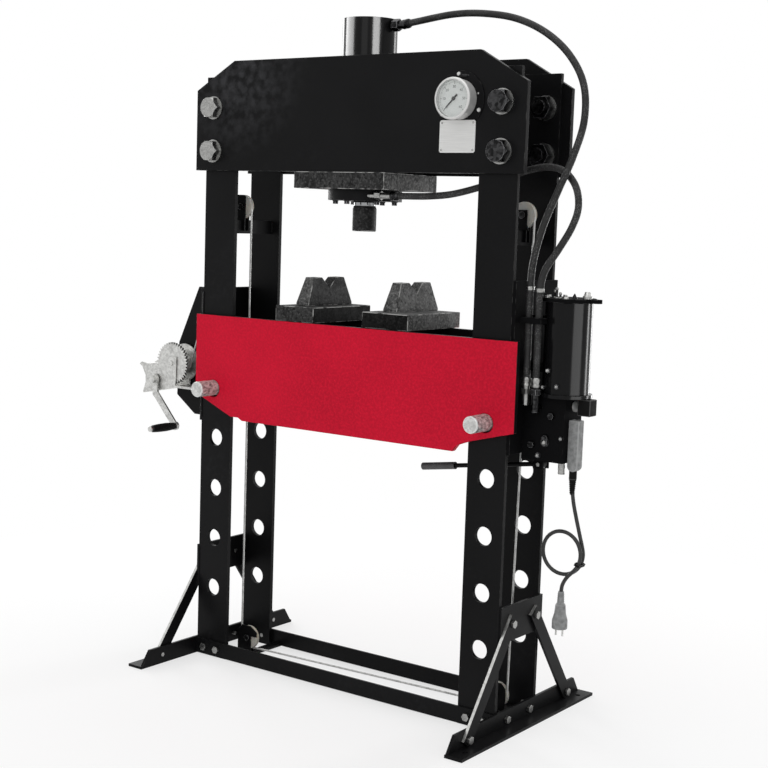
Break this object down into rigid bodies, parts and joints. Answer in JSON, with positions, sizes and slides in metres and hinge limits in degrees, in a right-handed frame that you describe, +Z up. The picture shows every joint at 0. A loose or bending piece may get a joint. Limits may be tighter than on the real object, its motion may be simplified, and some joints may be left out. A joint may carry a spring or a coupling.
{
  "type": "hydraulic workshop press",
  "caption": "Floor-standing H-frame hydraulic workshop press with a pinned bed raised by a rope winch, side pump unit with hoses, pressure gauge, loose plates and vee blocks.",
  "frame": {"origin": "on the floor in the middle of the four floor anchors", "axes": "+X to the operator's right (pump side), +Y away from the operator, +Z up"},
  "size_m": [1.507, 0.676, 1.8594],
  "materials": {
    "black_paint": "gloss black enamel",
    "red_paint": "gloss red enamel",
    "zinc": "bright zinc plate",
    "cast_iron": "dark scale with worn edges",
    "chrome": "hard chrome",
    "rope_steel": "galvanised wire rope",
    "dial_white": "printed white dial",
    "glass": "clear",
    "label_metal": "plain satin plate",
    "sheave_plastic": "white nylon",
    "black_plastic": "moulded black",
    "grey_plastic": "moulded light grey",
    "hose_rubber": "dark grey cover"
  },
  "bodies": {
    "frame": {"upright_front_left": "black_paint", "upright_front_right": "black_paint", "upright_rear_left": "black_paint", "upright_rear_right": "black_paint", "head_plate_front": "black_paint", "head_plate_rear": "black_paint", "head_bolts": "zinc", "bearing_plate": "cast_iron", "gland_flange": "black_paint", "cylinder_barrel": "black_paint", "gauge_case": "zinc", "gauge_dial": "dial_white", "gauge_glass": "glass", "label_plate": "label_metal", "foot_left": "black_paint", "foot_right": "black_paint", "braces": "black_paint", "cross_bars": "black_paint", "side_ties": "black_paint", "sheave_carriers": "black_paint", "frame_bolts": "zinc", "sheave_axles": "zinc", "winch_mount": "black_paint", "winch_frame": "zinc", "lift_rope": "rope_steel", "level_rope": "rope_steel", "pump_bracket": "black_paint", "pump_block": "black_paint", "oil_tank": "black_paint", "tank_lid": "black_paint", "solenoid": "black_plastic", "switch_box": "grey_plastic", "hose_fittings": "zinc", "hose_upper": "hose_rubber", "hose_lower": "hose_rubber", "mains_lead": "hose_rubber", "lead_tie": "black_plastic", "mains_plug": "grey_plastic"},
    "ram": {"ram": "chrome", "ram_tip": "cast_iron"},
    "needle": {"gauge_needle": "black_plastic"},
    "bed": {"bed_plate_front": "red_paint", "bed_plate_rear": "red_paint", "bed_webs": "red_paint"},
    "pin_left": {"pin_left": "zinc"},
    "pin_right": {"pin_right": "zinc"},
    "plate_left": {"press_plate_left": "cast_iron"},
    "plate_right": {"press_plate_right": "cast_iron"},
    "vee_left": {"vee_block_left": "cast_iron"},
    "vee_right": {"vee_block_right": "cast_iron"},
    "drum": {"winch_drum": "zinc", "rope_winding": "rope_steel"},
    "crank": {"winch_pinion": "zinc", "crank_arm": "zinc"},
    "grip": {"crank_grip": "black_plastic"},
    "sheave_ul": {"sheave_upper_left": "sheave_plastic"},
    "sheave_ur": {"sheave_upper_right": "sheave_plastic"},
    "sheave_ll": {"sheave_lower_left": "sheave_plastic"},
    "sheave_lr": {"sheave_lower_right": "sheave_plastic"},
    "lever": {"control_lever": "black_plastic"}
  },
  "joints": [
    {"name": "ram_stroke", "type": "slide", "parent": "frame", "child": "ram", "axis": [0, 0, -1], "range_m": [0, 0.2]},
    {"name": "needle_turn", "type": "hinge", "parent": "frame", "child": "needle", "pos_m": [0.356, -0.15, 1.619], "axis": [0, 1, 0], "range_deg": [0, 270], "stiffness_Nm_per_rad": 0.0005},
    {"name": "bed_lift", "type": "slide", "parent": "frame", "child": "bed", "axis": [0, 0, 1], "range_m": [0, 0.004], "deforming": ["lift_rope", "level_rope"]},
    {"name": "pin_left_pull", "type": "slide", "parent": "frame", "child": "pin_left", "axis": [0, -1, 0], "range_m": [0, 0.258]},
    {"name": "pin_right_pull", "type": "slide", "parent": "frame", "child": "pin_right", "axis": [0, -1, 0], "range_m": [0, 0.258]},
    {"name": "plate_left_slide", "type": "slide", "parent": "bed", "child": "plate_left", "axis": [-1, 0, 0], "range_m": [-0.08, 0.12]},
    {"name": "plate_right_slide", "type": "slide", "parent": "bed", "child": "plate_right", "axis": [1, 0, 0], "range_m": [-0.05, 0.12]},
    {"name": "vee_left_lift", "type": "slide", "parent": "plate_left", "child": "vee_left", "axis": [0, 0, 1], "range_m": [0, 0.12]},
    {"name": "vee_right_lift", "type": "slide", "parent": "plate_right", "child": "vee_right", "axis": [0, 0, 1], "range_m": [0, 0.12]},
    {"name": "drum_turn", "type": "hinge", "parent": "frame", "child": "drum", "pos_m": [-0.656, -0.068, 0.862], "axis": [0, 1, 0], "continuous": true},
    {"name": "crank_turn", "type": "hinge", "parent": "frame", "child": "crank", "pos_m": [-0.71396, -0.1, 0.80981], "axis": [0, 1, 0], "continuous": true},
    {"name": "grip_spin", "type": "hinge", "parent": "crank", "child": "grip", "pos_m": [-0.62449, -0.165, 0.67716], "axis": [0, 1, 0], "continuous": true},
    {"name": "sheave_ul_turn", "type": "hinge", "parent": "frame", "child": "sheave_ul", "pos_m": [-0.444, -0.028, 1.335], "axis": [0, 1, 0], "continuous": true},
    {"name": "sheave_ur_turn", "type": "hinge", "parent": "frame", "child": "sheave_ur", "pos_m": [0.475, 0.02, 1.335], "axis": [0, 1, 0], "continuous": true},
    {"name": "sheave_ll_turn", "type": "hinge", "parent": "frame", "child": "sheave_ll", "pos_m": [-0.385, -0.028, 0.058], "axis": [0, 1, 0], "continuous": true},
    {"name": "sheave_lr_turn", "type": "hinge", "parent": "frame", "child": "sheave_lr", "pos_m": [0.455, 0.02, 0.058], "axis": [0, 1, 0], "continuous": true},
    {"name": "lever_tilt", "type": "hinge", "parent": "frame", "child": "lever", "pos_m": [0.569, 0, 0.7], "axis": [0, 1, 0], "range_deg": [-8, 8]}
  ],
  "couplings": [
    {"joint": "crank_turn", "follows": "drum_turn", "ratio": -3.3333},
    {"joint": "sheave_ul_turn", "follows": "drum_turn", "ratio": -1.0367},
    {"joint": "sheave_ur_turn", "follows": "drum_turn", "ratio": 1.0367},
    {"joint": "sheave_ll_turn", "follows": "drum_turn", "ratio": 1.0367},
    {"joint": "sheave_lr_turn", "follows": "drum_turn", "ratio": 1.0367}
  ]
}
